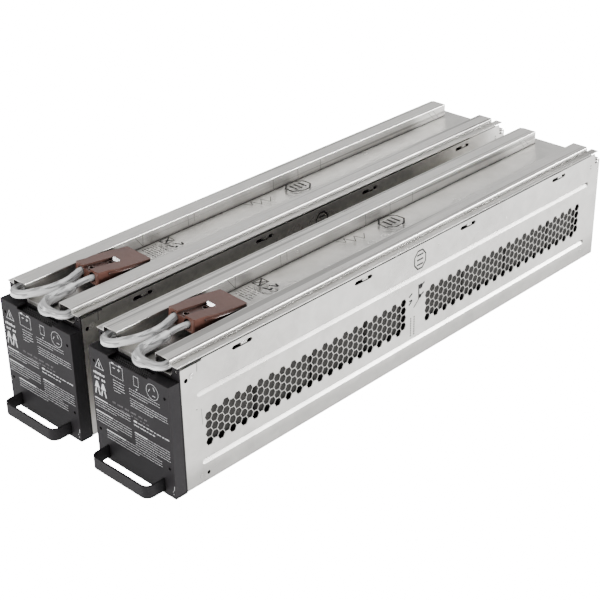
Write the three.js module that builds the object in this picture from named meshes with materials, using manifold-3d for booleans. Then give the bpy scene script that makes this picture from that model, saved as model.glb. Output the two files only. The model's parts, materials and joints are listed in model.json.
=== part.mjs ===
// A set of two plug-in battery trays for a rack-mounted power supply.
// Each tray is a long galvanised channel with perforated sides, a dark front box with a fixed
// pull handle, a lid with two raised wiring rails, eight sealed blocks in series, and a pair of
// sleeved leads that leave the rails' mouths and end in a two-pole connector lying on the lid.
// Millimetres. +Z is up, the handles face -Y, and the origin is the centre of the set's footprint.

import * as THREE from 'three';
import { mergeVertices } from 'three/addons/utils/BufferGeometryUtils.js';
import Module from 'manifold-3d';

const wasm = await Module();
wasm.setup();

// Driving dimensions of one tray, in its own frame: x = 0 on its centre plane, y = 0 at the front
// edge of the galvanised side walls, z = 0 under its floor.
const WIDTH = 100;
const HALF = WIDTH / 2;
const LENGTH = 595;
const SHEET = 1;
const GAP = 0.3;
const SIDE_TOP = 120.1;
const SEAM_NOTCH = { deep: 1.6, long: 23 };
const DECK_TOP = 113.4;
const RAIL_TOP = 127;
const LEDGE_TOP = 122.5;
const RAIL_IN = 24;
const RAIL_OUT = 41.9;
const RAIL_FRONT = -2.6;
const RAIL_BACK = 582;
const LEDGE_BACK = 590;

const BOX_DEPTH = 13.1;
const BOX_TOP = 108.7;
const BOX_BACK = -1.6;
const BOX_NOTCH_HALF = 25;
const BOX_NOTCH_DEPTH = 2.2;
const BOX_SCREW = { radius: 1.5, x: 44.5, heights: [96.4, 28.6] };

const HANDLE_HALF = 36.9;
const HANDLE_FRONT = -33;
const HANDLE_LOW = 3.2;
const HANDLE_TALL = 12;
const HANDLE_THICK = 2;
const HANDLE_BEND = 7.6;
const HANDLE_FOOT = 26;

const GROOVE_DEEP = 2;
const GROOVE_TALL = 7.8;
const GROOVE_FLOOR = { tall: 0.8, above: 1.2, short: 1.8 };
const GROOVES = [
  { z: 88.6, from: 15.7, to: 577 },
  { z: 21.2, from: 17.3, to: 577 },
];
const LID_SLOT = { z: 114.5, tall: 3.8, long: 24, first: 56.6, pitch: 150.4, count: 4 };
const SIDE_HOLES = [{ radius: 2.1, y: 5.6, z: 107 }, { radius: 1.8, y: 24.3, z: 8.7 }];
const REAR_SLOT = { from: 586.5, to: 593.5, low: 108.8, high: 110.6 };
const LID_TAB = { from: 10.6, to: 17.6, low: 113.7, high: 116, notch: 43.6, foot: 46.2 };

const BLOCKS = 8;
const BLOCK = { wide: 90, long: 70, tall: 101, post: 4, postX: 33 };
const BLOCK_FIRST = 14;
const BLOCK_PITCH = 71;
const BLOCK_FLOOR = SHEET + GAP;
const LINK = { wide: 9, thick: 1.2 };

const LEAD_RADIUS = 3.9;
const LEAD_SIDES = 10;
const PLUG = { half: 17, flare: 18.8, long: 58.3, tall: 13, pole: 8.5, yaw: 2.5, pitch: 6.1 };
const PLUG_AT = new THREE.Vector3(-0.3, 47.6, 132.9);

// Where the two trays stand in the set.
const TRAY_X = 62.4;
const TRAY_Y = -(HANDLE_FRONT + LENGTH) / 2;

// The materials.
const zinc = new THREE.MeshStandardMaterial({ color: 0xc6c4bc, roughness: 0.42, metalness: 0.75 });
const charcoal = new THREE.MeshStandardMaterial({ color: 0x4a484c, roughness: 0.6, metalness: 0.1 });
const casing = new THREE.MeshStandardMaterial({ color: 0x2b2c2f, roughness: 0.65, metalness: 0 });
const copper = new THREE.MeshStandardMaterial({ color: 0xa9714b, roughness: 0.35, metalness: 0.9 });
const silver = new THREE.MeshStandardMaterial({ color: 0xcfcfcc, roughness: 0.25, metalness: 0.95 });
const sleeve = new THREE.MeshStandardMaterial({ color: 0xa9a8aa, roughness: 0.45, metalness: 0 });
const brown = new THREE.MeshStandardMaterial({ color: 0x74504a, roughness: 0.25, metalness: 0 });

// Solid helpers.
const solidOf = (geometry) => {
  const bare = geometry.index ? geometry.clone() : mergeVertices(geometry.clone());
  bare.deleteAttribute('normal');
  bare.deleteAttribute('uv');
  const merged = mergeVertices(bare, 1e-4);
  return new wasm.Manifold(new wasm.Mesh({
    numProp: 3,
    vertProperties: new Float32Array(merged.attributes.position.array),
    triVerts: new Uint32Array(merged.index.array),
  }));
};

const geometryOf = (solid) => {
  const mesh = solid.getMesh();
  const geometry = new THREE.BufferGeometry();
  geometry.setAttribute('position', new THREE.BufferAttribute(mesh.vertProperties, 3));
  geometry.setIndex(new THREE.BufferAttribute(mesh.triVerts, 1));
  geometry.computeVertexNormals();
  return geometry;
};

const cut = (solid, ...tools) => tools.reduce((left, tool) => left.subtract(tool), solid);

const join = (solid, ...others) => others.reduce((left, other) => left.add(other), solid);

const block = (x0, x1, y0, y1, z0, z1) => solidOf(
  new THREE.BoxGeometry(x1 - x0, y1 - y0, z1 - z0)
    .translate((x0 + x1) / 2, (y0 + y1) / 2, (z0 + z1) / 2),
);

const outline = (points) => new THREE.Shape(points.map(([a, b]) => new THREE.Vector2(a, b)));

// Extrusions of an outline given as (x, z) along Y, as (y, z) along X, and as (x, y) along Z.
const alongY = (points, y0, y1) => new THREE.ExtrudeGeometry(
  outline(points),
  { depth: y1 - y0, bevelEnabled: false },
).rotateX(Math.PI / 2).translate(0, y1, 0);

const alongX = (points, x0, x1) => new THREE.ExtrudeGeometry(
  outline(points),
  { depth: x1 - x0, bevelEnabled: false },
).applyMatrix4(new THREE.Matrix4().makeBasis(
  new THREE.Vector3(0, 1, 0),
  new THREE.Vector3(0, 0, 1),
  new THREE.Vector3(1, 0, 0),
)).translate(x0, 0, 0);

const alongZ = (points, z0, z1) => new THREE.ExtrudeGeometry(
  outline(points),
  { depth: z1 - z0, bevelEnabled: false },
).translate(0, 0, z0);

const pin = (radius, sides, length, axis) => {
  const geometry = new THREE.CylinderGeometry(radius, radius, length, sides);
  if (axis === 'x') geometry.rotateZ(Math.PI / 2);
  if (axis === 'z') geometry.rotateX(Math.PI / 2);
  return geometry;
};

const pinAt = (radius, sides, length, axis, x, y, z) => solidOf(
  pin(radius, sides, length, axis).translate(x, y, z),
);

// The outline of a folded sheet: the fold line, then the same line moved sideways by the thickness.
const folded = (line, thick) => {
  const side = line.map(([x, y], i) => {
    const [ax, ay] = line[Math.max(i - 1, 0)];
    const [bx, by] = line[Math.min(i + 1, line.length - 1)];
    const before = new THREE.Vector2(x - ax, y - ay).normalize();
    const after = new THREE.Vector2(bx - x, by - y).normalize();
    if (i === 0) before.copy(after);
    if (i === line.length - 1) after.copy(before);
    const mitre = new THREE.Vector2(-before.y - after.y, before.x + after.x).normalize();
    const stretch = thick / Math.max(0.3, mitre.dot(new THREE.Vector2(-before.y, before.x)));
    return [x + mitre.x * stretch, y + mitre.y * stretch];
  });
  return [...line, ...side.reverse()];
};

const mirrored = (points) => points.map(([x, y]) => [-x, y]).reverse();

const arc = (cx, cy, radius, from, to, steps) => Array.from({ length: steps + 1 }, (_, i) => {
  const angle = THREE.MathUtils.degToRad(from + ((to - from) * i) / steps);
  return [cx + radius * Math.cos(angle), cy + radius * Math.sin(angle)];
});

// A round-ended outline in the (y, z) plane.
const slotOutline = (y0, y1, z, tall, steps) => [
  ...arc(y1 - tall / 2, z, tall / 2, -90, 90, steps),
  ...arc(y0 + tall / 2, z, tall / 2, 90, 270, steps),
];

// A skin between two outlines with as many points, each with its own x, closed at both ends.
const loft = (near, nearX, far, farX) => {
  const position = [];
  near.forEach(([y, z]) => position.push(nearX, y, z));
  far.forEach(([y, z]) => position.push(farX, y, z));
  const index = [];
  const count = near.length;
  for (let i = 0; i < count; i += 1) {
    const next = (i + 1) % count;
    index.push(i, next, count + next, i, count + next, count + i);
    if (i > 0 && i < count - 1) {
      index.push(0, i + 1, i);
      index.push(count, count + i, count + i + 1);
    }
  }
  if (farX < nearX) {
    for (let i = 0; i < index.length; i += 3) {
      [index[i], index[i + 1]] = [index[i + 1], index[i]];
    }
  }
  const geometry = new THREE.BufferGeometry();
  geometry.setAttribute('position', new THREE.Float32BufferAttribute(position, 3));
  geometry.setIndex(index);
  return geometry;
};

// The pressed groove of a side wall: what it takes off outside and what it adds inside. Its floor
// lies above its middle, so it has a long lower slope and a short upper one.
const groove = (side, { z, from, to }, extra) => solidOf(loft(
  slotOutline(from - extra, to + extra, z, GROOVE_TALL + 2 * extra, 4),
  side * (HALF + (extra ? -SHEET / 2 : 1)),
  slotOutline(
    from + GROOVE_FLOOR.short - extra,
    to - GROOVE_FLOOR.short + extra,
    z + GROOVE_FLOOR.above,
    GROOVE_FLOOR.tall + 2 * extra,
    4,
  ),
  side * (HALF - GROOVE_DEEP - extra),
));

// The tray: a floor and two side walls folded from one sheet, with two pressed grooves on each
// side, the slots that the lid's tabs hook into, and a step at the rear top corner.
const tray = () => {
  const fold = [
    [-HALF, SIDE_TOP],
    ...arc(-HALF + 2, 2, 2, 180, 270, 3),
    ...arc(HALF - 2, 2, 2, -90, 0, 3),
    [HALF, SIDE_TOP],
  ];
  let body = solidOf(alongY(folded(fold, SHEET), 0, LENGTH));
  const rearStep = [[LENGTH + 1, 112], [LENGTH + 1, 125], [583, 125], [586, 118], [586, 112]];
  [-1, 1].forEach((side) => {
    const low = Math.min(side * (HALF + 1), side * (HALF - 3));
    GROOVES.forEach((line) => {
      body = cut(join(body, groove(side, line, SHEET)), groove(side, line, 0));
    });
    for (let i = 0; i < LID_SLOT.count; i += 1) {
      const from = LID_SLOT.first + i * LID_SLOT.pitch;
      const shape = slotOutline(from, from + LID_SLOT.long, LID_SLOT.z, LID_SLOT.tall, 2);
      body = cut(body, solidOf(alongX(shape, low, low + 4)));
    }
    body = cut(
      body,
      solidOf(alongX(rearStep, low, low + 4)),
      block(low, low + 4, REAR_SLOT.from, REAR_SLOT.to, REAR_SLOT.low, REAR_SLOT.high),
      block(low, low + 4, -1, SEAM_NOTCH.long, SIDE_TOP - SEAM_NOTCH.deep, SIDE_TOP + 1),
      ...SIDE_HOLES.map(({ radius, y, z }) => pinAt(radius, 10, 6, 'x', side * HALF, y, z)),
    );
  });
  return geometryOf(body);
};

// The rear wall stands inside the tray's end and turns forward under the lid.
const rearPanel = () => {
  const inner = HALF - SHEET - 1;
  const low = SHEET + GAP;
  const high = DECK_TOP - SHEET - GAP;
  const fold = [[583, low], [594, low], [594, high], [584, high]];
  const wall = solidOf(alongX(folded(fold, SHEET), -inner, inner));
  const hookSlot = block(-9, 9, 590, 600, 52, 60);
  const vents = [-30, -18, 18, 30].map((x) => block(x - 3, x + 3, 590, 600, 24, 92));
  return geometryOf(cut(wall, hookSlot, ...vents));
};

// The front bulkhead closes the tray behind the dark box; its two ears rise beside the rails.
const bulkhead = () => {
  const top = DECK_TOP - SHEET - GAP;
  const ear = RAIL_OUT + GAP;
  const shape = [
    [-HALF, 0], [HALF, 0], [HALF, SIDE_TOP], [ear, SIDE_TOP], [ear, top], [-ear, top],
    [-ear, SIDE_TOP], [-HALF, SIDE_TOP],
  ];
  const wall = solidOf(alongY(shape, -SHEET - GAP, -GAP));
  const louvres = [92, 96, 100].map((z) => block(-22, 22, -5, 5, z, z + 1.6));
  return geometryOf(cut(
    wall,
    ...louvres,
    pinAt(1.4, 10, 6, 'y', -46.3, 0, 116.6),
    pinAt(1.4, 10, 6, 'y', 46.3, 0, 116.6),
  ));
};

// The dark front box: a shell open at the back, notched at its top edge, with a slot for each
// arm of the handle and four screw holes.
const frontBox = () => {
  let shell = cut(
    block(-HALF, HALF, -BOX_DEPTH, BOX_BACK, 0, BOX_TOP),
    block(-HALF + SHEET, HALF - SHEET, -BOX_DEPTH + SHEET, 1, SHEET, BOX_TOP - SHEET),
    block(-BOX_NOTCH_HALF, BOX_NOTCH_HALF, -BOX_DEPTH - 1, 1, BOX_TOP - BOX_NOTCH_DEPTH, BOX_TOP + 1),
  );
  [-1, 1].forEach((side) => {
    const arm = side * (HANDLE_HALF - HANDLE_THICK / 2);
    const reach = HANDLE_THICK / 2 + GAP;
    shell = cut(
      shell,
      block(
        arm - reach,
        arm + reach,
        -BOX_DEPTH - 1,
        -BOX_DEPTH + SHEET + 1,
        HANDLE_LOW - GAP,
        HANDLE_LOW + HANDLE_TALL + GAP,
      ),
      ...BOX_SCREW.heights.map(
        (z) => pinAt(BOX_SCREW.radius, 12, 6, 'y', side * BOX_SCREW.x, -BOX_DEPTH, z),
      ),
    );
  });
  return geometryOf(shell);
};

// The pull handle: one flat strap bent to a U, its feet turned in behind the box's front face.
const handle = () => {
  const foot = -BOX_DEPTH + SHEET + GAP;
  const bend = HANDLE_FRONT + HANDLE_BEND;
  const line = [
    [-HANDLE_FOOT, foot + HANDLE_THICK],
    [-HANDLE_HALF, foot + HANDLE_THICK],
    ...arc(-HANDLE_HALF + HANDLE_BEND, bend, HANDLE_BEND, 180, 270, 6),
    ...arc(HANDLE_HALF - HANDLE_BEND, bend, HANDLE_BEND, -90, 0, 6),
    [HANDLE_HALF, foot + HANDLE_THICK],
    [HANDLE_FOOT, foot + HANDLE_THICK],
  ];
  return alongZ(folded(line, HANDLE_THICK), HANDLE_LOW, HANDLE_LOW + HANDLE_TALL);
};

// The lid's deck: a flat sheet over the blocks with a lip turned down at the front, an oval hole
// under each rail for a lead, and a notch at each slot of the side walls, in which a raised tab
// reaches into the slot.
const deck = () => {
  const inner = HALF - SHEET - GAP;
  const tab = RAIL_OUT - 0.4;
  const shape = [
    [-tab, RAIL_FRONT], [tab, RAIL_FRONT], [tab, GAP], [inner, GAP],
    [inner, LENGTH - 0.5], [-inner, LENGTH - 0.5], [-inner, GAP], [-tab, GAP],
  ];
  const lip = block(
    -RAIL_IN + 0.5,
    RAIL_IN - 0.5,
    RAIL_FRONT,
    RAIL_FRONT + SHEET,
    109.4,
    DECK_TOP - SHEET / 2,
  );
  const hole = (x, y0, y1) => solidOf(alongZ(
    [...arc(x, y1, 5.2, 0, 180, 5), ...arc(x, y0, 5.2, 180, 360, 5)],
    DECK_TOP - 5,
    DECK_TOP + 2,
  ));
  const { from: near, to: far, low, high, notch, foot } = LID_TAB;
  const notches = [];
  const tabs = [];
  const across = (side, a, b, y0, y1, z0, z1) => block(
    Math.min(side * a, side * b),
    Math.max(side * a, side * b),
    y0,
    y1,
    z0,
    z1,
  );
  [-1, 1].forEach((side) => {
    for (let i = 0; i < LID_SLOT.count; i += 1) {
      const from = LID_SLOT.first + i * LID_SLOT.pitch;
      notches.push(across(side, notch, HALF, from, from + LID_SLOT.long, DECK_TOP - 2, DECK_TOP + 1));
      tabs.push(
        across(side, notch - 1, foot + 1, from + near, from + far, DECK_TOP - SHEET, DECK_TOP),
        across(side, foot, foot + 1, from + near, from + far, DECK_TOP - SHEET, high),
        across(side, foot, HALF - 0.1, from + near, from + far, low, high),
      );
    }
  });
  const sheet = cut(
    join(solidOf(alongZ(shape, DECK_TOP - SHEET, DECK_TOP)), lip),
    hole(-33, 32, 50),
    hole(33, 526, 546),
    ...notches,
  );
  return geometryOf(join(sheet, ...tabs));
};

// A wiring rail: a hat-shaped channel on the deck whose outer flange lies over the side wall.
const rail = (side) => {
  const line = [
    [27, DECK_TOP + GAP],
    [RAIL_IN, DECK_TOP + GAP],
    ...arc(RAIL_IN + 0.8, RAIL_TOP - 0.8, 0.8, 180, 90, 2),
    ...arc(RAIL_OUT - 1.6, RAIL_TOP - 1.6, 1.6, 90, 0, 3),
    [RAIL_OUT, LEDGE_TOP],
    [HALF, LEDGE_TOP],
  ];
  const section = folded(line, -SHEET);
  const placed = side > 0 ? section : mirrored(section);
  const body = solidOf(alongY(placed.reverse(), RAIL_FRONT, LEDGE_BACK));
  const cap = block(
    Math.min(side * 20, side * (RAIL_OUT + 0.2)),
    Math.max(side * 20, side * (RAIL_OUT + 0.2)),
    RAIL_BACK,
    LEDGE_BACK + 5,
    DECK_TOP - 2,
    RAIL_TOP + 5,
  );
  return geometryOf(cut(body, cap));
};

// One sealed block: a case with chamfered uprights, a stepped lid and two terminal posts.
const blockRing = (inset) => {
  const w = BLOCK.wide / 2 - inset;
  const l = BLOCK.long / 2 - inset;
  return [
    [-w, -l + 2], [-w + 2, -l], [w - 2, -l], [w, -l + 2],
    [w, l - 2], [w - 2, l], [-w + 2, l], [-w, l - 2],
  ];
};

const batteryBlock = () => {
  const shoulder = BLOCK.tall - 8;
  const posts = [-1, 1].map((side) => block(
    side * BLOCK.postX - 4,
    side * BLOCK.postX + 4,
    -3.5,
    3.5,
    BLOCK.tall - 1,
    BLOCK.tall + BLOCK.post,
  ));
  return geometryOf(join(
    solidOf(alongZ(blockRing(0), 0, shoulder)),
    solidOf(alongZ(blockRing(1.2), shoulder - 1, BLOCK.tall)),
    ...posts,
  ));
};

// A link: a flat strap with round ends that crosses from one block's post to the next one's.
const link = () => {
  const half = Math.hypot(2 * BLOCK.postX, BLOCK_PITCH) / 2;
  const r = LINK.wide / 2;
  return alongZ([...arc(half, 0, r, -90, 90, 5), ...arc(-half, 0, r, 90, 270, 5)], 0, LINK.thick);
};

// The sleeved leads, as the centre points of their routes.
const LEFT_LEAD = [
  [-33, 47, 111.6], [-33.2, 38, 114.2], [-34, 28, 117.2], [-35, 16, 118.9], [-35.6, 5, 119.4],
  [-35.4, -3, 119.6], [-32.6, -8.8, 119.8], [-27.4, -10.8, 119.9], [-22, -7.9, 120],
  [-18, -1.8, 120.2], [-13.6, 6.4, 120.6], [-10, 15, 121.5], [-7.6, 24.2, 122.6],
  [-6.8, 32.6, 123.9], [-7.4, 39.6, 125.3], [-8.6, 46.6, 126.4], [-8.4, 54, 125.8],
];
const RIGHT_LEAD = [
  [34, 42, 119], [34.6, 28, 119], [35, 14, 119], [34.9, 4, 118.8], [33.6, -3.8, 118.4],
  [29.6, -6.9, 118.2], [23.4, -8, 118], [16.2, -9.2, 117.9], [9.6, -8.6, 118], [5, -5.4, 118.5],
  [2.6, 0, 119.1], [2.2, 6.6, 119.9], [2.9, 13.8, 120.7], [3.6, 21.4, 121.6], [3.8, 29, 122.7],
  [4.6, 36.2, 124.1], [6.6, 42.4, 125.5], [8.5, 48, 126.2], [8.9, 53.6, 125.7],
];
const DUCT_LEAD = [
  [33, 545, 111.6], [33.2, 535, 114.2], [33.8, 524, 117.2], [34, 510, 118.8], [34, 490, 119],
  [34, 340, 119], [34, 190, 119], [34, 60, 119], [34, 42.3, 119],
];

const tube = (points, steps) => {
  const stops = points.map(([x, y, z]) => new THREE.Vector3(x, y, z));
  const route = new THREE.CatmullRomCurve3(stops, false, 'centripetal');
  return new THREE.ExtrudeGeometry(
    outline(arc(0, 0, LEAD_RADIUS, 0, 360, LEAD_SIDES).slice(0, LEAD_SIDES)),
    { steps, extrudePath: route, bevelEnabled: false },
  );
};

// The connector: a flared two-pole housing with a sunk strip on top, two screw holes, a round
// cable entry for each lead in front and a flat mouth for each contact behind. Its own frame has
// x = 0 on its centre plane, y = 0 at the cable end and z = 0 on its top face.
const MOUTH = { wide: 12, low: -10.8, high: -2.3, deep: 22 };
const CONTACT = { wide: 8.6, thick: 1.8, long: 20 };

const housing = () => {
  const { half, flare, long, tall, pole } = PLUG;
  const right = [
    [half - 0.8, 0], [half, 0.8], [half, 12], [flare, 20], [flare, 40],
    [half + 0.8, long - 1], [half, long],
  ];
  const left = mirrored(right);
  const body = solidOf(alongZ([...right, ...left], -tall, 0));
  const tools = [
    block(-5.4, 5.4, -1, 33.5, -2.7, 1),
    pinAt(2.5, 14, 30, 'z', 0, 5.6, -6),
    pinAt(2.5, 14, 30, 'z', 0, 26.6, -6),
  ];
  [-1, 1].forEach((side) => {
    tools.push(
      pinAt(4.5, 16, 40, 'y', side * pole, -8.5, -tall / 2),
      block(
        side * pole - MOUTH.wide / 2,
        side * pole + MOUTH.wide / 2,
        long - MOUTH.deep,
        long + 1,
        MOUTH.low,
        MOUTH.high,
      ),
    );
  });
  return geometryOf(cut(body, ...tools));
};

const contact = (side) => {
  const x = side * PLUG.pole;
  const back = PLUG.long - 1.5;
  const low = MOUTH.low + GAP;
  const blade = [
    [back - CONTACT.long, low], [back, low], [back, low + CONTACT.thick - 0.6],
    [back - 1.2, low + CONTACT.thick], [back - CONTACT.long, low + CONTACT.thick],
  ];
  return alongX(blade, x - CONTACT.wide / 2, x + CONTACT.wide / 2);
};

const group = new THREE.Group();

const addTray = (name, x) => {
  const frame = new THREE.Group();
  frame.position.set(x, TRAY_Y, 0);
  group.add(frame);
  const put = (node, geometry, material, parent = frame) => {
    const mesh = new THREE.Mesh(geometry, material);
    mesh.name = `${name}_${node}`;
    parent.add(mesh);
    return mesh;
  };

  put('tray', tray(), zinc);
  put('rear_panel', rearPanel(), zinc);
  put('bulkhead', bulkhead(), charcoal);
  put('front_box', frontBox(), charcoal);
  put('pull_handle', handle(), charcoal);
  put('lid_deck', deck(), zinc);
  put('rail_left', rail(-1), zinc);
  put('rail_right', rail(1), zinc);

  const caseGeometry = batteryBlock();
  const linkGeometry = link();
  const lean = Math.atan2(BLOCK_PITCH, -2 * BLOCK.postX);
  for (let i = 0; i < BLOCKS; i += 1) {
    const y = BLOCK_FIRST + BLOCK.long / 2 + i * BLOCK_PITCH;
    put(`block_${i + 1}`, caseGeometry, casing).position.set(0, y, BLOCK_FLOOR);
    if (i < BLOCKS - 1) {
      const strap = put(`link_${i + 1}`, linkGeometry, copper);
      strap.position.set(0, y + BLOCK_PITCH / 2, BLOCK_FLOOR + BLOCK.tall + BLOCK.post + GAP);
      strap.rotation.z = lean;
    }
  }

  put('duct_lead', tube(DUCT_LEAD, 20), sleeve);
  put('lead_left', tube(LEFT_LEAD, 28), sleeve);
  put('lead_right', tube(RIGHT_LEAD, 28), sleeve);

  const plug = new THREE.Group();
  plug.position.copy(PLUG_AT);
  plug.rotation.set(
    -THREE.MathUtils.degToRad(PLUG.pitch),
    0,
    -THREE.MathUtils.degToRad(PLUG.yaw),
    'ZYX',
  );
  frame.add(plug);
  put('connector', housing(), brown, plug);
  put('contact_left', contact(-1), silver, plug);
  put('contact_right', contact(1), silver, plug);
};

addTray('right', TRAY_X);
addTray('left', -TRAY_X);

export default group;
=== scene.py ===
"""The looks of a set of two rack battery trays: perforated galvanised trays with dark front boxes,
raised wiring rails, and sleeved leads that end in a two-pole connector on the lid."""

import json
import math
import random

import bmesh
import bpy
from mathutils import Matrix, Vector, noise


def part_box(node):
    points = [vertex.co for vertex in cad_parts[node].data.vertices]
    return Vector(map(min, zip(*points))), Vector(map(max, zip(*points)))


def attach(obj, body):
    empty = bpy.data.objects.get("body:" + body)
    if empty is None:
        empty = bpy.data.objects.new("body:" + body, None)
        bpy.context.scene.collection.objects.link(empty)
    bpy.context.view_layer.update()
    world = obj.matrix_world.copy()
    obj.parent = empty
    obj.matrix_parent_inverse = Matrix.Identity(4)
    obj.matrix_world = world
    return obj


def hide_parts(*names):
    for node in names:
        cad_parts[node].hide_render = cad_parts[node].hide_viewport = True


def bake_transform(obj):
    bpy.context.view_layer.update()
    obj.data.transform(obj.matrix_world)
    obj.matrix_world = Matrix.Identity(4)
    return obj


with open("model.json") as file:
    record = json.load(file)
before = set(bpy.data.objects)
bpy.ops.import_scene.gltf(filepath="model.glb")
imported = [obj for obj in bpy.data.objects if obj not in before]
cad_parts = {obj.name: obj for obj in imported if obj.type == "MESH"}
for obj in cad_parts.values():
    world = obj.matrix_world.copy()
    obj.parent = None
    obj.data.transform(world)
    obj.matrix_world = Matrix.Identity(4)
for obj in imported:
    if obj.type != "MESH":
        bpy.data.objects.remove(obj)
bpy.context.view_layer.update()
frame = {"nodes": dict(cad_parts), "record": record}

MM = 0.001
SAME_CORNER = 2e-6
SIDES = ("right", "left")

# ---------------------------------------------------------------- places, from the frame


def origin(tray):
    """The tray's own origin: on its centre plane, at the front edge of its walls, on the ground."""
    low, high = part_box(f"{tray}_tray")
    return Vector(((low.x + high.x) / 2, low.y, low.z))


ORIGINS = {tray: origin(tray) for tray in SIDES}


def place(tray, x, y, z):
    """A point given in the tray's own millimetres, in the frame's metres."""
    return ORIGINS[tray] + Vector((x, y, z)) * MM


HALF = (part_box("right_tray")[1].x - ORIGINS["right"].x) / MM
DECK_TOP = (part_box("right_lid_deck")[1].z - ORIGINS["right"].z) / MM
BOX_FRONT = (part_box("right_front_box")[0].y - ORIGINS["right"].y) / MM
RAIL_IN = -(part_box("right_rail_left")[1].x - ORIGINS["right"].x) / MM

# ---------------------------------------------------------------- camera

CAMERA_AT = Vector((0.84628, -0.89249, 0.69964))
CAMERA_YAW = 0.775187523
CAMERA_PITCH = 0.499720544
CAMERA_ROLL = -0.0202350674
CAMERA_LENS = 84.394
CAMERA_SENSOR = 36


def make_camera():
    back = Vector((
        math.sin(CAMERA_YAW) * math.cos(CAMERA_PITCH),
        -math.cos(CAMERA_YAW) * math.cos(CAMERA_PITCH),
        math.sin(CAMERA_PITCH),
    ))
    level = Vector((0, 0, 1)).cross(back).normalized()
    up = back.cross(level)
    c, s = math.cos(CAMERA_ROLL), math.sin(CAMERA_ROLL)
    right, top = c * level + s * up, c * up - s * level
    data = bpy.data.cameras.new("camera")
    data.lens = CAMERA_LENS
    data.sensor_width = CAMERA_SENSOR
    camera = bpy.data.objects.new("camera", data)
    bpy.context.scene.collection.objects.link(camera)
    turn = Matrix((right, top, back)).transposed().to_4x4()
    camera.matrix_world = Matrix.Translation(CAMERA_AT) @ turn
    bpy.context.scene.camera = camera


make_camera()

# ---------------------------------------------------------------- node materials

SHADE_SAMPLES = 6
# heights in metres over which the painted shade at a part's foot fades out
FOOT_SHADE_BAND = (0.012, 0.027)
PLINTH_EDGE = (0.0355, 0.0375)


class Paint:
    """A small helper that builds a node material around one Principled shader."""

    def __init__(self, name, rough, metal=0.0, **fixed):
        self.material = bpy.data.materials.new(name)
        self.material.use_nodes = True
        self.tree = self.material.node_tree
        self.shader = self.tree.nodes["Principled BSDF"]
        self.shader.inputs["Roughness"].default_value = rough
        self.shader.inputs["Metallic"].default_value = metal
        for socket, value in fixed.items():
            self.shader.inputs[socket.replace("_", " ")].default_value = value
        self.coords = self.tree.nodes.new("ShaderNodeTexCoord").outputs["Object"]

    def link(self, source, target):
        self.tree.links.new(source, target)

    def stretched(self, scale):
        mapping = self.tree.nodes.new("ShaderNodeMapping")
        mapping.inputs["Scale"].default_value = scale
        self.link(self.coords, mapping.inputs["Vector"])
        return mapping.outputs["Vector"]

    def noise(self, scale, detail=3.0, stretch=(1, 1, 1), distortion=0.0):
        node = self.tree.nodes.new("ShaderNodeTexNoise")
        node.inputs["Scale"].default_value = scale
        node.inputs["Detail"].default_value = detail
        node.inputs["Distortion"].default_value = distortion
        self.link(self.stretched(stretch), node.inputs["Vector"])
        return node.outputs["Fac"]

    def cells(self, scale, stretch=(1, 1, 1)):
        node = self.tree.nodes.new("ShaderNodeTexVoronoi")
        node.inputs["Scale"].default_value = scale
        self.link(self.stretched(stretch), node.inputs["Vector"])
        grey = self.tree.nodes.new("ShaderNodeRGBToBW")
        self.link(node.outputs["Color"], grey.inputs["Color"])
        return grey.outputs["Val"]

    def height(self):
        node = self.tree.nodes.new("ShaderNodeSeparateXYZ")
        self.link(self.coords, node.inputs["Vector"])
        return node.outputs["Z"]

    def lay(self):
        """Switches the texture space to a lead's own: around it, and along it."""
        node = self.tree.nodes.new("ShaderNodeAttribute")
        node.attribute_name = "lay"
        self.coords = node.outputs["Vector"]

    def corners(self, reach, darkest, closed=0.35, clear=0.85):
        """Painted shade in corners and seams narrower than the reach, which is in metres: a factor
        that darkens the colour there.
        """
        node = self.tree.nodes.new("ShaderNodeAmbientOcclusion")
        node.samples = SHADE_SAMPLES
        node.inputs["Distance"].default_value = reach
        return self.ramp(node.outputs["AO"], (closed, grey(darkest)), (clear, grey(1.0)))

    def ramp(self, source, *stops):
        """A colour ramp through stops of (position, linear colour)."""
        node = self.tree.nodes.new("ShaderNodeValToRGB")
        line = node.color_ramp
        while len(line.elements) < len(stops):
            line.elements.new(0.5)
        for element, (position, colour) in zip(line.elements, stops):
            element.position = position
            element.color = (*colour, 1)
        self.link(source, node.inputs["Fac"])
        return node.outputs["Color"]

    def span(self, source, low, high, from_low=0.0, from_high=1.0):
        node = self.tree.nodes.new("ShaderNodeMapRange")
        for socket, value in zip(("From Min", "From Max", "To Min", "To Max"),
                                 (from_low, from_high, low, high)):
            node.inputs[socket].default_value = value
        self.link(source, node.inputs["Value"])
        return node.outputs["Result"]

    def tint(self, colour, factor):
        """One colour multiplied by another."""
        node = self.tree.nodes.new("ShaderNodeMix")
        node.data_type = "RGBA"
        node.blend_type = "MULTIPLY"
        node.inputs["Factor"].default_value = 1.0
        self.link(colour, node.inputs[6])
        self.link(factor, node.inputs[7])
        return node.outputs[2]

    def colour(self, source):
        self.link(source, self.shader.inputs["Base Color"])

    def rough(self, source, low, high):
        self.link(self.span(source, low, high), self.shader.inputs["Roughness"])

    def bump(self, *layers):
        """Bump layers of (source, strength, distance in metres), one on top of the other."""
        normal = None
        for source, strength, distance in layers:
            node = self.tree.nodes.new("ShaderNodeBump")
            node.inputs["Strength"].default_value = strength
            node.inputs["Distance"].default_value = distance
            self.link(source, node.inputs["Height"])
            if normal is not None:
                self.link(normal, node.inputs["Normal"])
            normal = node.outputs["Normal"]
        self.link(normal, self.shader.inputs["Normal"])


def grey(value, warm=0.0):
    """A linear grey, a little warm if asked."""
    return (value, value * (1 - warm / 3), value * (1 - warm))


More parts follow.
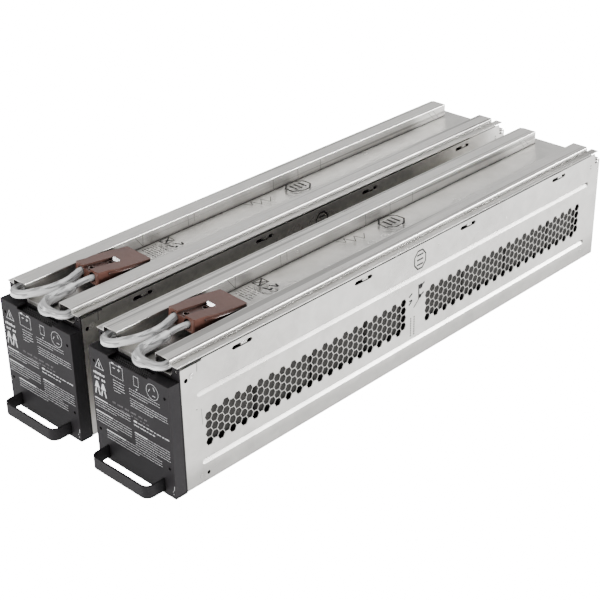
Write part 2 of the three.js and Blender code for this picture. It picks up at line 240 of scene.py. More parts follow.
def galvanised(name, rolled, tone=1.0, seam=0.0045, corner_shade=0.03):
    """Zinc-coated sheet with a faint spangle. A rolled part has fine lines along it, and any other
    is darker in a band along its foot, which is painted shade for the dimmer reflection of the floor
    near it."""
    paint = Paint(name, 0.3, metal=0.92)
    cloud = paint.noise(14, 3)
    scuff = paint.noise(60, 4, (14, 0.5, 14)) if rolled else paint.noise(55, 5, distortion=1.0)
    spangle = paint.cells(170, (1, 0.6, 1))
    base = paint.ramp(scuff, (0.3, grey(0.60 * tone, 0.04)), (0.7, grey(0.70 * tone, 0.04)))
    mottle = paint.ramp(cloud, (0.3, grey(0.90, 0.02)), (0.7, grey(1.0, 0.02)))
    flake = paint.ramp(spangle, (0.2, grey(0.96)), (0.8, grey(1.0)))
    colour = paint.tint(paint.tint(base, mottle), flake)
    layers = [(scuff, 0.07, 0.0002), (paint.noise(1100, 2), 0.05, 0.0001)]
    if rolled:
        lines = paint.noise(230, 1, (1, 0.006, 1))
        colour = paint.tint(colour, paint.ramp(lines, (0.58, grey(1.0)), (0.64, grey(0.55))))
        layers.append((lines, 0.12, 0.0002))
    else:
        # painted shade: the colour darkens towards the part's foot
        foot = paint.span(paint.height(), 0.0, 1.0, *FOOT_SHADE_BAND)
        colour = paint.tint(colour, paint.ramp(foot, (0.0, grey(0.62)), (1.0, grey(1.0))))
    # painted shade: the colour darkens in corners and seams
    paint.colour(paint.tint(colour, paint.corners(seam, corner_shade)))
    paint.rough(cloud, 0.24, 0.33)
    paint.bump(*layers)
    return paint.material


def charcoal():
    """Matt powder coat with a fine grain, and painted shade in its corners."""
    paint = Paint("charcoal_paint", 0.5, Specular_IOR_Level=0.13)
    grain = paint.noise(1600, 3)
    cloud = paint.noise(22, 3)
    base = paint.ramp(cloud, (0.3, (0.0110, 0.0100, 0.0112)), (0.7, (0.0150, 0.0138, 0.0152)))
    speck = paint.ramp(grain, (0.35, grey(0.82)), (0.65, grey(1.15)))
    paint.colour(paint.tint(paint.tint(base, speck), paint.corners(0.006, 0.08)))
    paint.rough(grain, 0.42, 0.62)
    paint.bump((grain, 0.35, 0.00012))
    return paint.material


def block_plastic():
    """The blocks' cases: dark grey plastic, and black for the lowest third. Painted shade darkens them
    in corners and round the rims of the vent holes in front of them.
    """
    paint = Paint("block_case", 0.6, Specular_IOR_Level=0.1)
    high = paint.span(paint.height(), 0, 1, *PLINTH_EDGE)
    base = paint.ramp(high, (0.0, grey(0.006)), (1.0, (0.028, 0.027, 0.0255)))
    base = paint.tint(base, paint.ramp(paint.noise(70, 3), (0.3, grey(0.8)), (0.7, grey(1.0))))
    paint.colour(paint.tint(base, paint.corners(0.007, 0.02, closed=0.26, clear=0.6)))
    paint.bump((paint.noise(1500, 2), 0.3, 0.0001))
    return paint.material


def bare_metal(name, light, dark, rough):
    paint = Paint(name, rough, metal=1.0)
    grain = paint.noise(180, 4, (1, 5, 1))
    paint.colour(paint.ramp(grain, (0.3, dark), (0.7, light)))
    paint.rough(grain, rough - 0.06, rough + 0.1)
    paint.bump((grain, 0.1, 0.0001))
    return paint.material


def sleeve_film():
    """Clear shrunk film over a grey cable: long glossy folds, a few short wrinkles. Its colour holds
    painted sheen and painted shade in light and dark bands along the folds, and painted shade in the
    wrinkles' hollows and in corners.
    """
    paint = Paint("lead_sleeve", 0.2, IOR=1.45, Coat_Weight=0.8, Coat_Roughness=0.06)
    paint.lay()
    fold = paint.noise(0.9, 1, (1, 1, 0.25))
    crinkle = paint.noise(1.7, 2, (1, 1, 0.45), 0.8)
    # painted sheen and painted shade: light and dark bands along the folds
    base = paint.ramp(fold, (0.34, grey(0.24)), (0.44, grey(0.56)), (0.56, grey(0.78)))
    # painted shade in the wrinkles' hollows
    base = paint.tint(base, paint.ramp(crinkle, (0.36, grey(0.40)), (0.46, grey(1.0))))
    # painted shade in corners
    paint.colour(paint.tint(base, paint.corners(0.0035, 0.3)))
    paint.rough(crinkle, 0.14, 0.3)
    paint.bump((crinkle, 0.6, 0.0009))
    return paint.material


def brown_plastic(name, gloss):
    """Brown moulded plastic, with painted shade in its corners. The lips and rims are given more gloss
    than the housing.
    """
    paint = Paint(name, 0.24, Coat_Weight=gloss, Coat_Roughness=0.05, IOR=1.4)
    flow = paint.noise(45, 3, (1, 0.4, 1))
    base = paint.ramp(flow, (0.3, (0.078, 0.0290, 0.0200)), (0.7, (0.112, 0.0450, 0.0320)))
    paint.colour(paint.tint(base, paint.corners(0.010, 0.06, closed=0.4, clear=0.9)))
    smoother = 0.2 * gloss
    paint.rough(paint.noise(300, 3), 0.34 - smoother, 0.46 - smoother)
    paint.bump((paint.noise(900, 2), 0.05, 0.0001))
    return paint.material


def ink(name, colour):
    paint = Paint(name, 0.55, Specular_IOR_Level=0.15)
    wear = paint.noise(700, 3)
    paint.colour(paint.ramp(wear, (0.3, tuple(0.8 * c for c in colour)), (0.6, colour)))
    paint.bump((wear, 0.2, 0.00005))
    return paint.material


SKINS = {
    "galvanised_steel": galvanised("galvanised_steel", rolled=False),
    "rolled_steel": galvanised("rolled_steel", rolled=True, seam=0.006),
    # the deck's copy of the galvanised steel is darker all over, which is painted shade for the dimmer
    # reflection it gets between the rails; its painted corner shade reaches less far and is lighter
    "deck_steel": galvanised("deck_steel", rolled=False, tone=0.90, seam=0.0035, corner_shade=0.12),
    "charcoal_paint": charcoal(),
    "block_case": block_plastic(),
    "copper_link": bare_metal("copper_link", (0.72, 0.40, 0.26), (0.50, 0.25, 0.15), 0.3),
    "plated_contact": bare_metal("plated_contact", grey(0.85), grey(0.65), 0.2),
    "lead_sleeve": sleeve_film(),
    "connector_housing": brown_plastic("connector_housing", 0.08),
    "connector_lip": brown_plastic("connector_lip", 1.0),
    "white_ink": ink("white_ink", (0.56, 0.56, 0.57)),
    "grey_ink": ink("grey_ink", (0.10, 0.097, 0.10)),
    "black_ink": ink("black_ink", (0.012, 0.012, 0.012)),
    "scribe": ink("scribe", (0.10, 0.10, 0.09)),
}

# ---------------------------------------------------------------- mesh helpers


def finish_mesh(mesh, name, skin, smooth=False):
    """Turns a bmesh into a named object with its skin."""
    bmesh.ops.recalc_face_normals(mesh, faces=mesh.faces)
    data = bpy.data.meshes.new(name)
    mesh.to_mesh(data)
    mesh.free()
    piece = bpy.data.objects.new(name, data)
    bpy.context.scene.collection.objects.link(piece)
    data.materials.append(SKINS[skin])
    for face in data.polygons:
        face.use_smooth = smooth
    return piece


def add_prism(mesh, outline, low, high):
    """Adds a closed prism between two maps of the same outline into space."""
    near = [mesh.verts.new(low(a, b)) for a, b in outline]
    far = [mesh.verts.new(high(a, b)) for a, b in outline]
    count = len(outline)
    mesh.faces.new(near)
    mesh.faces.new(list(reversed(far)))
    for i in range(count):
        j = (i + 1) % count
        mesh.faces.new((near[i], far[i], far[j], near[j]))


def join_rings(mesh, rings, closed=False):
    """Faces between each ring of corners and the next, and from the last to the first if closed."""
    for near, far in zip(rings, rings[1:] + rings[:1] if closed else rings[1:]):
        for i in range(len(near)):
            j = (i + 1) % len(near)
            mesh.faces.new((near[i], far[i], far[j], near[j]))


def cap_rings(mesh, rings):
    mesh.faces.new(rings[0])
    mesh.faces.new(list(reversed(rings[-1])))


def soften(piece, width, segments=2):
    """Joins a faceted solid's split corners, clears its flat faces and rounds its edges."""
    weld = piece.modifiers.new("weld", "WELD")
    weld.merge_threshold = SAME_CORNER
    clear = piece.modifiers.new("clear", "DECIMATE")
    clear.decimate_type = "DISSOLVE"
    clear.angle_limit = math.radians(0.5)
    bevel = piece.modifiers.new("bevel", "BEVEL")
    bevel.width = width * MM
    bevel.segments = segments
    bevel.limit_method = "ANGLE"
    bevel.angle_limit = math.radians(30)
    weigh = piece.modifiers.new("weigh", "WEIGHTED_NORMAL")
    weigh.mode = "FACE_AREA"
    weigh.weight = 100
    for face in piece.data.polygons:
        face.use_smooth = True


def cut_with(piece, cutter):
    """Cuts a mesh by another one for good, and removes the cutter."""
    change = piece.modifiers.new("cut", "BOOLEAN")
    change.operation = "DIFFERENCE"
    change.solver = "MANIFOLD"
    change.object = cutter
    bpy.context.view_layer.objects.active = piece
    with bpy.context.temp_override(object=piece, active_object=piece):
        bpy.ops.object.modifier_apply(modifier=change.name)
    bpy.data.objects.remove(cutter)


# ---------------------------------------------------------------- the leads

LEAD_ROUTES = {
    "left": [
        (-33, 47, 111.6), (-33.2, 38, 114.2), (-34, 28, 117.2), (-35, 16, 118.9), (-35.6, 5, 119.4),
        (-35.4, -3, 119.6), (-32.6, -8.8, 119.8), (-27.4, -10.8, 119.9), (-22, -7.9, 120),
        (-18, -1.8, 120.2), (-13.6, 6.4, 120.6), (-10, 15, 121.5), (-7.6, 24.2, 122.6),
        (-6.8, 32.6, 123.9), (-7.4, 39.6, 125.3), (-8.6, 46.6, 126.4), (-8.4, 54, 125.8),
    ],
    "right": [
        (34, 42, 119), (34.6, 28, 119), (35, 14, 119), (34.9, 4, 118.8), (33.6, -3.8, 118.4),
        (29.6, -6.9, 118.2), (23.4, -8, 118), (16.2, -9.2, 117.9), (9.6, -8.6, 118), (5, -5.4, 118.5),
        (2.6, 0, 119.1), (2.2, 6.6, 119.9), (2.9, 13.8, 120.7), (3.6, 21.4, 121.6), (3.8, 29, 122.7),
        (4.6, 36.2, 124.1), (6.6, 42.4, 125.5), (8.5, 48, 126.2), (8.9, 53.6, 125.7),
    ],
}
LEAD_DIAMETER = 7.8
LEAD_SIDES = 28
LEAD_STEP = 0.6


def curve_through(points, step):
    """A centripetal Catmull-Rom curve through the points, in steps of about that length."""
    points = [Vector(p) for p in points]
    points = [2 * points[0] - points[1], *points, 2 * points[-1] - points[-2]]
    line = []
    for a, b, c, d in zip(points, points[1:], points[2:], points[3:]):
        t1 = (b - a).length ** 0.5
        t2 = t1 + (c - b).length ** 0.5
        t3 = t2 + (d - c).length ** 0.5
        count = max(2, round((c - b).length / step))
        for i in range(count):
            t = t1 + (t2 - t1) * i / count
            share = (t - t1) / (t2 - t1)
            ab = a.lerp(b, t / t1)
            bc = b.lerp(c, share)
            cd = c.lerp(d, (t - t2) / (t3 - t2))
            line.append(ab.lerp(bc, t / t2).lerp(bc.lerp(cd, (t - t1) / (t3 - t1)), share))
    line.append(points[-2])
    return line


def ease(value, low, high):
    """A smooth rise from 0 to 1 between the two values."""
    t = max(0.0, min(1.0, (value - low) / (high - low)))
    return t * t * (3 - 2 * t)


def left_sleeve_radius(share):
    """Snug all along, a little fuller in the bend."""
    return LEAD_DIAMETER / 2 * (1 + 0.10 * math.exp(-((share - 0.46) / 0.07) ** 2))


def right_sleeve_radius(share):
    """Loose from the front loop to its open end, then the narrower lead alone."""
    loose = ease(share, 0.40, 0.54) - ease(share, 0.80, 0.83)
    bare = ease(share, 0.80, 0.83)
    return LEAD_DIAMETER / 2 * (1 + 0.30 * loose - 0.26 * bare)


def left_crumple(share):
    """How far the film stands off its round, in millimetres: most in the bend."""
    return 0.12 + 0.6 * math.exp(-((share - 0.43) / 0.06) ** 2)


def right_crumple(share):
    return 0.15 + 0.85 * (ease(share, 0.38, 0.46) - ease(share, 0.80, 0.84))


SLEEVES = {"left": (left_sleeve_radius, left_crumple), "right": (right_sleeve_radius, right_crumple)}


def crease(angle, along):
    """Depth of the two long creases that wander round the film, in millimetres."""
    depth = 0.0
    for at, swing, deep in ((0.9, 0.35, 0.95), (2.9, 0.5, 0.7)):
        off = math.remainder(angle - at - swing * math.sin(along / 23), 2 * math.pi)
        depth += deep * math.exp(-((off / 0.34) ** 2))
    return depth


def make_lead(tray, side):
    """One sleeved lead, which bends between the tray and the connector."""
    radius, crumple = SLEEVES[side]
    line = curve_through(LEAD_ROUTES[side], LEAD_STEP)
    mesh = bmesh.new()
    lay = mesh.verts.layers.float_vector.new("lay")
    rings = []
    across = Vector((1, 0, 0))
    for i, centre in enumerate(line):
        along = (line[min(i + 1, len(line) - 1)] - line[max(i - 1, 0)]).normalized()
        across = (across - across.dot(along) * along).normalized()
        up = along.cross(across)
        share = i / (len(line) - 1)
        ring = []
        for k in range(LEAD_SIDES):
            angle = 2 * math.pi * k / LEAD_SIDES
            out = math.cos(angle) * across + math.sin(angle) * up
            where = Vector((1.1 * math.cos(angle), 1.1 * math.sin(angle), i * LEAD_STEP * 0.07))
            fold = noise.noise(where) + 0.35 * noise.noise(where * 2.1)
            reach = radius(share) + crumple(share) * fold - crease(angle, i * LEAD_STEP)
            corner = mesh.verts.new(place(tray, *(centre + out * reach)))
            corner[lay] = (math.cos(angle), math.sin(angle), i * LEAD_STEP * 0.1)
            ring.append(corner)
        rings.append(ring)
    join_rings(mesh, rings)
    cap_rings(mesh, rings)
    piece = finish_mesh(mesh, f"{tray}_sleeve_{side}", "lead_sleeve", smooth=True)
    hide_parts(f"{tray}_lead_{side}")
    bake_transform(piece)


for tray in SIDES:
    for side in ("left", "right"):
        make_lead(tray, side)

# ---------------------------------------------------------------- the perforated trays

HEX_ACROSS = 7.7
HEX_PITCH_Y = 6.7
HEX_PITCH_Z = 8.25
HEX_SQUEEZE = 0.94
HEX_COLUMNS = 38
HEX_ROWS = 4
HEX_FIELDS = (27.3, 310.7)
HEX_LOWEST = 38.7
WALL_CUTS = ((HALF - 2, HALF + 1), (-HALF - 1, -HALF + 2))


def hexagon(y, z):
    radius = HEX_ACROSS / math.sqrt(3)
    return [
        (y + HEX_SQUEEZE * radius * math.cos(math.radians(60 * k)),
         z + radius * math.sin(math.radians(60 * k)))
        for k in range(6)
    ]


def hex_cutter(tray):
    """Bars through both side walls, one for each vent hole."""
    mesh = bmesh.new()
    for start in HEX_FIELDS:
        for column in range(HEX_COLUMNS):
            lift = HEX_PITCH_Z / 2 if column % 2 else 0
            for row in range(HEX_ROWS):
                outline = hexagon(start + column * HEX_PITCH_Y, HEX_LOWEST + lift + row * HEX_PITCH_Z)
                for low, high in WALL_CUTS:
                    add_prism(
                        mesh,
                        outline,
                        lambda a, b, x=low: place(tray, x, a, b),
                        lambda a, b, x=high: place(tray, x, a, b),
                    )
    return finish_mesh(mesh, f"{tray}_cutter", "galvanised_steel")


def make_perforated_tray(tray):
    """A copy of the CAD tray with the vent holes cut through its walls."""
    source = frame["nodes"][f"{tray}_tray"]
    piece = bpy.data.objects.new(f"{tray}_perforated_tray", source.data.copy())
    bpy.context.scene.collection.objects.link(piece)
    piece.data.materials.clear()
    piece.data.materials.append(SKINS["galvanised_steel"])
    shape = bmesh.new()
    shape.from_mesh(piece.data)
    bmesh.ops.remove_doubles(shape, verts=shape.verts, dist=SAME_CORNER)
    shape.to_mesh(piece.data)
    shape.free()
    cut_with(piece, hex_cutter(tray))
    soften(piece, 0.2)
    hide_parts(f"{tray}_tray")
    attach(piece, f"{tray}_tray")


for tray in SIDES:
    make_perforated_tray(tray)

# ---------------------------------------------------------------- CAD nodes that stay

ROUNDING = {
    "connector": (0.5, 3), "front_box": (0.6, 3), "pull_handle": (0.35, 3), "rail_left": (0.45, 3),
    "rail_right": (0.45, 3), "lid_deck": (0.15, 2), "bulkhead": (0.15, 2), "rear_panel": (0.2, 2),
}
PLAIN_ROUNDING = (0.25, 2)
STEEL_OF = {"rail_left": "rolled_steel", "rail_right": "rolled_steel", "lid_deck": "deck_steel"}
SLOT_OF = {part["node"]: part["material_slot"] for part in frame["record"]["subparts"]}

for name, node in frame["nodes"].items():
    node.data.materials.clear()
    part = name.split("_", 1)[1]
    skin = STEEL_OF.get(part, SLOT_OF[name])
    node.data.materials.append(SKINS[skin])
    width, segments = ROUNDING.get(part, PLAIN_ROUNDING)
    if not node.hide_render:
        soften(node, width, segments)

# ---------------------------------------------------------------- print and small trim

PRINT_LIFT = 0.05
PRINT_SINK = 0.02
TRIM_SIDES = 24


def on_front(tray):
    return lambda a, b, lift: place(tray, a, BOX_FRONT - lift, b)


def on_deck(tray):
    return lambda a, b, lift: place(tray, a, b, DECK_TOP + lift)


def on_side(tray, side=1):
    return lambda a, b, lift: place(tray, side * (HALF + lift), a, b)


def on_rail(tray):
    return lambda a, b, lift: place(tray, -RAIL_IN + lift, a, b)


def bar(a0, b0, a1, b1):
    return [(a0, b0), (a1, b0), (a1, b1), (a0, b1)]


def stroke(start, end, width):
    """A straight stroke of that width between two points."""
    along = Vector(end) - Vector(start)
    aside = Vector((-along.y, along.x)).normalized() * width / 2
    return [tuple(Vector(p) + aside * k) for p, k in ((start, -1), (end, -1), (end, 1), (start, 1))]


def regular(a, b, radius, sides, turn=0.0, squeeze=1.0):
    return [
        (a + squeeze * radius * math.cos(turn + 2 * math.pi * k / sides),
         b + radius * math.sin(turn + 2 * math.pi * k / sides))
        for k in range(sides)
    ]


def words(a0, a1, b, tall, seed):
    """One line of short plain bars in uneven groups, where the object has a line of small print."""
    draw = random.Random(seed)
    marks = []
    a = a0
    while a < a1 - tall:
        for _ in range(draw.randint(2, 6)):
            end = a + draw.uniform(0.5, 1.1) * tall
            if end > a1:
                break
            marks.append(bar(a, b, end, b + tall * draw.uniform(0.75, 1.15)))
            a = end + 0.35 * tall
        a += draw.uniform(0.8, 1.5) * tall
    return marks


def paragraph(a0, a1, top, lines, pitch, tall, seed, heading=0.0):
    """Lines of bars, the last one short, with a bolder bar at the start of the first."""
    marks = []
    for line in range(lines):
        b = top - tall - line * pitch
        start = a0
        if line == 0 and heading:
            marks.append(bar(a0, b - 0.25, a0 + heading, b + tall + 0.35))
            start = a0 + heading + 1.2
        end = a1 if line < lines - 1 else a0 + 0.6 * (a1 - a0)
        marks += words(start, end, b, tall, seed + line)
    return marks


def add_frame(mesh, outline, width, onto):
    """A closed band of that width inside a convex outline."""
    centre = sum((Vector(p) for p in outline), Vector((0, 0))) / len(outline)
    reach = min((Vector(p) - centre).length for p in outline)
    inner = [tuple(centre + (Vector(p) - centre) * (1 - width / reach)) for p in outline]
    rings = [
        [mesh.verts.new(onto(a, b, lift)) for a, b in ring]
        for ring, lift in (
            (outline, -PRINT_SINK), (outline, PRINT_LIFT), (inner, PRINT_LIFT), (inner, -PRINT_SINK),
        )
    ]
    join_rings(mesh, rings, closed=True)


def printed(tray, name, skin, onto, marks, frames=()):
    """A printed mark as one piece: solid shapes, and outlines of a given width."""
    mesh = bmesh.new()
    for outline in marks:
        add_prism(
            mesh,
            outline,
            lambda a, b: onto(a, b, -PRINT_SINK),
            lambda a, b: onto(a, b, PRINT_LIFT),
        )
    for outline, width in frames:
        add_frame(mesh, outline, width, onto)
    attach(finish_mesh(mesh, f"{tray}_{name}", skin), f"{tray}_tray")


def lifting_figure(a):
    """A stooping figure of plain shapes: a wide-armed body over two spread legs."""
    return [
        [(a - 3.3, 70.8), (a + 3.3, 70.8), (a + 0.9, 77.0), (a - 0.9, 77.0)],
        stroke((a - 1.5, 70.0), (a - 3.0, 64.2), 1.3),
        stroke((a + 1.5, 70.0), (a + 3.0, 64.2), 1.3),
    ]


def front_print(tray):
    """Plain bars and simple shapes in the places of the front box's print, and two worn spots."""
    marks = [
        *words(-46.5, -31.5, 84.4, 2.2, 5), *words(-45.5, -30.0, 79.4, 2.2, 8),
        *lifting_figure(-43.2), *lifting_figure(-35.2),
        *(regular(a, b, 0.5, 6) for a, b in ((47.6, 4.4), (47.0, 7.0))),
        stroke((48.7, 9.0), (48.9, 13.0), 0.5),
        regular(-38.0, 91.6, 0.55, 8), stroke((-38.0, 93.2), (-38.0, 97.0), 0.9),
        bar(-21.0, 103.5, -18.0, 104.6), bar(-12.0, 103.5, -9.0, 104.6),
        stroke((-19.5, 99.8), (-16.6, 99.8), 0.6), stroke((-13.4, 99.8), (-10.5, 99.8), 0.6),
        stroke((-12.0, 98.4), (-12.0, 101.2), 0.6),
        regular(9.6, 90.4, 0.7, 12),
        *(stroke((29.6 + 3.4 * math.cos(turn), 96.6 + 3.4 * math.sin(turn)),
                 (29.6 + 5.0 * math.cos(turn + 0.8), 96.6 + 5.0 * math.sin(turn + 0.8)), 0.5)
          for turn in (0.5, 0.5 + 2 * math.pi / 3, 0.5 + 4 * math.pi / 3)),
    ]
    marks += paragraph(-20.5, -6.0, 88.0, 5, 2.6, 0.55, 11)
    marks += paragraph(0.0, 38.0, 88.0, 3, 2.5, 0.5, 21)
    marks += paragraph(0.0, 46.5, 78.6, 4, 2.3, 0.5, 31)
    marks += paragraph(-48.0, -1.5, 59.6, 4, 2.5, 0.5, 41, heading=17)
    marks += paragraph(-48.0, -1.5, 46.6, 5, 2.5, 0.5, 51, heading=22)
    marks += paragraph(2.5, 46.5, 57.6, 2, 3.6, 1.0, 61, heading=4)
    marks += paragraph(2.5, 46.5, 46.0, 6, 2.4, 0.5, 71, heading=16)
    marks += paragraph(-35.5, 35.5, 31.6, 4, 2.5, 0.5, 81, heading=25)
    frames = [
        (regular(-38.0, 94.2, 6.6, 3, math.pi / 2), 0.8),
        (bar(-23.0, 91.5, -7.0, 103.5), 0.38),
        (bar(6.6, 93.4, 12.6, 102.6), 0.4),
        (regular(29.6, 96.6, 7.4, 28), 0.28),
    ]
    printed(tray, "front_print", "white_ink", on_front(tray), marks, frames)
    patch = [*words(-24, 20, 63.6, 1.6, 15), *words(-14, 24, 60.2, 1.2, 16)]
    printed(tray, "front_patch", "grey_ink", on_front(tray), patch)


def deck_print(tray):
    """Plain marks on the lid: rows of bars, a crossed box, an octagon, and a faint scrawl."""
    marks = [
        *(mark for row, end in enumerate((5.0, 5.0, 3.0, 5.0, 1.0, 5.0))
          for mark in words(-15.5, end, 122.5 + 3.2 * row, 1.3, 91 + row)),
        stroke((-17.0, 147.2), (-9.6, 157.4), 1.5), stroke((-9.6, 147.2), (-17.0, 157.4), 1.5),
        stroke((-4.6, 146.4), (3.6, 148.2), 2.1), stroke((3.6, 148.2), (1.6, 152.0), 2.1),
        stroke((-3.4, 153.0), (4.2, 157.6), 2.1), stroke((4.2, 157.6), (-1.4, 159.4), 1.9),
        *(bar(-14.6, b, -2.4, b + 2.6) for b in (317.6, 323.6, 329.6)),
    ]
    frames = [
        (bar(-18.4, 145.8, -8.2, 158.8), 1.5),
        (regular(-8.5, 325.0, 15.4, 8, math.pi / 8, 0.86), 2.0),
    ]
    printed(tray, "deck_print", "black_ink", on_deck(tray), marks, frames)
    scrawl = [
        stroke((-18.0, 257.0), (-10.0, 262.0), 0.9), stroke((-10.0, 262.0), (-17.0, 266.0), 0.9),
        stroke((-17.0, 266.0), (-5.0, 270.0), 0.9), stroke((-5.0, 270.0), (-14.0, 277.0), 0.9),
        stroke((-14.0, 277.0), (-3.0, 280.0), 0.9), stroke((-3.0, 280.0), (-11.0, 288.0), 0.9),
    ]
    printed(tray, "deck_scrawl", "scribe", on_deck(tray), scrawl)


def scribe_lines(tray):
    """Thin scribed lines on the inner wall of the left rail."""
    marks = [
        stroke((123.0, 125.6), (131.5, 114.6), 0.35), stroke((132.2, 125.8), (131.7, 114.4), 0.35),
        stroke((189.0, 125.0), (189.4, 115.0), 0.35), stroke((197.0, 125.6), (197.4, 117.0), 0.3),
        *(stroke((y, 125.4), (y + 0.3, 114.8), 0.35) for y in (305.0, 341.0, 375.0)),
        stroke((552.0, 125.4), (562.0, 115.0), 0.4), stroke((560.0, 125.4), (570.0, 115.0), 0.4),
    ]
    printed(tray, "scribe_lines", "scribe", on_rail(tray), marks)


def side_print(tray):
    """An octagon with plain bars, a few strokes between the fields of vent holes, and scuffs."""
    marks = [
        *(bar(293.4, z, 302.6, z + 1.7) for z in (99.2, 104.2, 109.2)),
        stroke((283.0, 62.0), (287.6, 66.0), 1.8), stroke((283.0, 70.4), (287.6, 73.2), 1.8),
        stroke((283.2, 66.2), (287.6, 66.2), 1.5),
        stroke((290.0, 57.0), (297.4, 63.4), 1.1), stroke((297.4, 63.4), (297.0, 79.0), 1.7),
        regular(299.2, 66.0, 2.2, 8), regular(300.0, 76.2, 3.0, 8),
        stroke((299.2, 66.0), (304.4, 68.6), 1.8), stroke((300.0, 76.2), (305.4, 78.8), 1.9),
        *(bar(285.4 + 5 * row, 27.6 + 2.6 * k, 286.9 + 5 * row, 29.3 + 2.6 * k)
          for row in range(2) for k in range(8)),
    ]
    frames = [(regular(298.0, 105.0, 11.0, 8, math.pi / 8, 0.86), 1.6)]
    printed(tray, "side_print", "black_ink", on_side(tray), marks, frames)
    scuffs = [
        stroke((18.2, 119.6), (17.6, 110.5), 0.6), stroke((20.0, 74.0), (20.6, 58.0), 0.4),
        regular(15.3, 75.3, 0.8, 10), *(bar(578.0, z, 580.2, z + 1.1) for z in (105.0, 108.0)),
    ]
    rings = [
        (regular(y, z, radius, TRIM_SIDES), 0.6)
        for y, z, radius in ((11.7, 108.7, 2.7), (16.5, 8.7, 2.2))
    ]
    printed(tray, "side_scuffs", "scribe", on_side(tray), scuffs, rings)


def side_trim(tray):
    """Spot-weld rings and dimples on both side walls, as shallow turned shapes."""
    mesh = bmesh.new()
    profile = ((2.65, 0.0), (2.45, 0.22), (1.75, 0.26), (1.45, 0.08), (0.0, 0.05))
    for side in (1, -1):
        for y, z, scale in ((11.7, 108.7, 1.0), (15.3, 75.3, 0.42), (16.5, 8.7, 0.8),
                            (150.0, 100.5, 0.4), (432.0, 100.5, 0.4), (572.0, 12.0, 0.8)):
            rings = []
            for radius, lift in profile[:-1]:
                rings.append([
                    mesh.verts.new(on_side(tray, side)(a, b, lift * scale))
                    for a, b in regular(y, z, radius * scale, TRIM_SIDES)
                ])
            tip = mesh.verts.new(on_side(tray, side)(y, z, profile[-1][1] * scale))
            foot = mesh.verts.new(on_side(tray, side)(y, z, -PRINT_SINK))
            join_rings(mesh, rings)
            for i in range(TRIM_SIDES):
                j = (i + 1) % TRIM_SIDES
                mesh.faces.new((rings[-1][i], rings[-1][j], tip))
                mesh.faces.new((rings[0][j], rings[0][i], foot))
    piece = finish_mesh(mesh, f"{tray}_side_trim", "galvanised_steel", smooth=True)
    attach(piece, f"{tray}_tray")


RIB_FRONT = -11.8
RIB_FOOT = 103.6
RIB_PITCH = 2.4
RIB_COUNT = 4
RIB_HALF = 24.4


def notch_ribs(tray):
    """The ribbed strip that shows in the notch of the front box."""
    mesh = bmesh.new()
    outline = [(RIB_FRONT, RIB_FOOT)]
    for rib in range(RIB_COUNT):
        start = RIB_FRONT + rib * RIB_PITCH
        outline += [(start + 0.4, 105.4), (start + 1.5, 105.4), (start + 1.9, 104.3)]
    outline.append((-2.0, RIB_FOOT))
    add_prism(
        mesh,
        outline,
        lambda a, b: place(tray, -RIB_HALF, a, b),
        lambda a, b: place(tray, RIB_HALF, a, b),
    )
    piece = finish_mesh(mesh, f"{tray}_notch_ribs", "charcoal_paint")
    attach(piece, f"{tray}_tray")


# The connector's own frame, as in the CAD: its top face is z = 0, its cable end y = 0.
PLUG_AT = (-0.3, 47.6, 132.9)
PLUG_YAW = math.radians(2.5)
PLUG_PITCH = math.radians(6.1)
PLUG_EDGE = ((17, 12), (18.8, 20), (18.8, 40), (17.8, 57.3))
PLUG_RECESS = 2.7
PLUG_SCREWS = (5.6, 26.6)
RIM_SIDES = 28
LATCH_HALF = 4.9


def in_plug(tray):
    turn = Matrix.Rotation(-PLUG_YAW, 3, "Z") @ Matrix.Rotation(-PLUG_PITCH, 3, "X")
    return lambda x, y, z: place(tray, *(Vector(PLUG_AT) + turn @ Vector((x, y, z))))


def plug_part(tray, name, skin, mesh, smooth=True):
    piece = finish_mesh(mesh, f"{tray}_{name}", skin, smooth=smooth)
    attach(piece, f"{tray}_plug")


def plug_lips(tray):
    """A half-round lip along both flanks, in the place of the bright line in the photograph."""
    at = in_plug(tray)
    mesh = bmesh.new()
    profile = [(1.3 * math.cos(t) - 0.2, 1.1 * math.sin(t) - 3.2)
               for t in (math.radians(-100 + 20 * k) for k in range(11))]
    for side in (1, -1):
        rings = []
        for x, y in PLUG_EDGE:
            rings.append([mesh.verts.new(at(side * (x + out), y, z)) for out, z in profile])
        join_rings(mesh, rings)
        cap_rings(mesh, rings)
    plug_part(tray, "connector_lips", "connector_lip", mesh)


def plug_rims(tray):
    """A raised ring round each screw hole in the recess."""
    at = in_plug(tray)
    mesh = bmesh.new()
    profile = ((2.55, -0.02), (2.6, 0.75), (2.85, 0.95), (3.2, 0.8), (3.4, -0.02))
    for y in PLUG_SCREWS:
        rings = [
            [mesh.verts.new(at(a, b, lift - PLUG_RECESS)) for a, b in regular(0, y, radius, RIM_SIDES)]
            for radius, lift in profile
        ]
        join_rings(mesh, rings, closed=True)
    plug_part(tray, "connector_rims", "connector_lip", mesh)


def plug_latch(tray):
    """The bright spring plate that leans against the far end of the recess."""
    at = in_plug(tray)
    mesh = bmesh.new()
    add_prism(
        mesh,
        [(31.0, -2.0), (31.5, -2.2), (33.4, -0.1), (33.4, 0.3), (33.0, 0.3)],
        lambda a, b: at(-LATCH_HALF, a, b),
        lambda a, b: at(LATCH_HALF, a, b),
    )
    plug_part(tray, "connector_latch", "plated_contact", mesh, smooth=False)


for tray in SIDES:
    front_print(tray)
    deck_print(tray)
    side_print(tray)
    scribe_lines(tray)
    side_trim(tray)
    notch_ribs(tray)
    plug_lips(tray)
    plug_rims(tray)
    plug_latch(tray)

# ---------------------------------------------------------------- floor and light

FLOOR_REACH = 30.0
FLOOR_THICK = 0.01
FLOOR_WHITE = 16.0
FLOOR_GLOW = 1.0
LIGHTS_AIM = Vector((0, 0, 0.08))


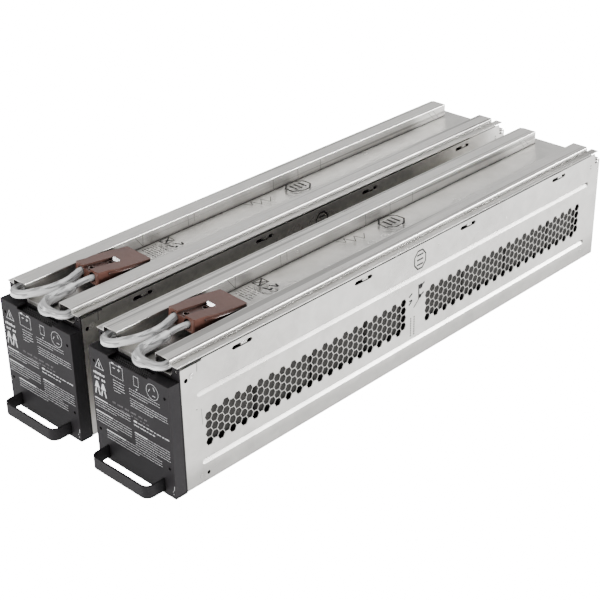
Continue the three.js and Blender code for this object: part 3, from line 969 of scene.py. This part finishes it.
def make_floor():
    """Pale paper: white to the camera, and much dimmer as a light on the object."""
    mesh = bmesh.new()
    add_prism(
        mesh,
        bar(-FLOOR_REACH, -FLOOR_REACH, FLOOR_REACH, FLOOR_REACH),
        lambda a, b: Vector((a, b, -FLOOR_THICK)),
        lambda a, b: Vector((a, b, 0.0)),
    )
    floor = finish_mesh(mesh, "floor", "white_ink")
    paint = Paint("floor_paper", 0.9, Emission_Color=(1, 1, 1, 1))
    paint.colour(paint.ramp(paint.noise(3, 2), (0.3, grey(0.86)), (0.7, grey(0.88))))
    path = paint.tree.nodes.new("ShaderNodeLightPath")
    glow = paint.span(path.outputs["Is Camera Ray"], FLOOR_GLOW, FLOOR_WHITE)
    paint.link(glow, paint.shader.inputs["Emission Strength"])
    floor.data.materials[0] = paint.material


def make_light(name, turn, rise, far, wide, tall, radiance):
    """A softbox in the direction of those degrees, with that radiance over its face."""
    turn, rise = math.radians(turn), math.radians(rise)
    out = Vector((math.cos(rise) * math.cos(turn), math.cos(rise) * math.sin(turn), math.sin(rise)))
    data = bpy.data.lights.new(name, "AREA")
    data.shape = "RECTANGLE"
    data.size = wide
    data.size_y = tall
    data.energy = math.pi * wide * tall * radiance
    light = bpy.data.objects.new(name, data)
    bpy.context.scene.collection.objects.link(light)
    light.location = LIGHTS_AIM + far * out
    light.rotation_euler = (-out).to_track_quat("-Z", "Y").to_euler()


def make_world(strength):
    world = bpy.data.worlds.new("studio")
    bpy.context.scene.world = world
    world.use_nodes = True
    background = world.node_tree.nodes["Background"]
    background.inputs["Color"].default_value = (1, 1, 1, 1)
    background.inputs["Strength"].default_value = strength


make_floor()
make_world(0.42)
make_light("edge", 39.1, 6.6, 2.6, 1.6, 0.55, 55)
make_light("back", 134.4, 29, 2.6, 2.6, 2.2, 0.72)
make_light("fill", 45.6, 36, 2.8, 1.6, 1.2, 1.2)
make_light("front", -82, 16, 2.5, 1.2, 1.0, 14)
make_light("key", 225, 29, 2.4, 0.7, 0.7, 14)
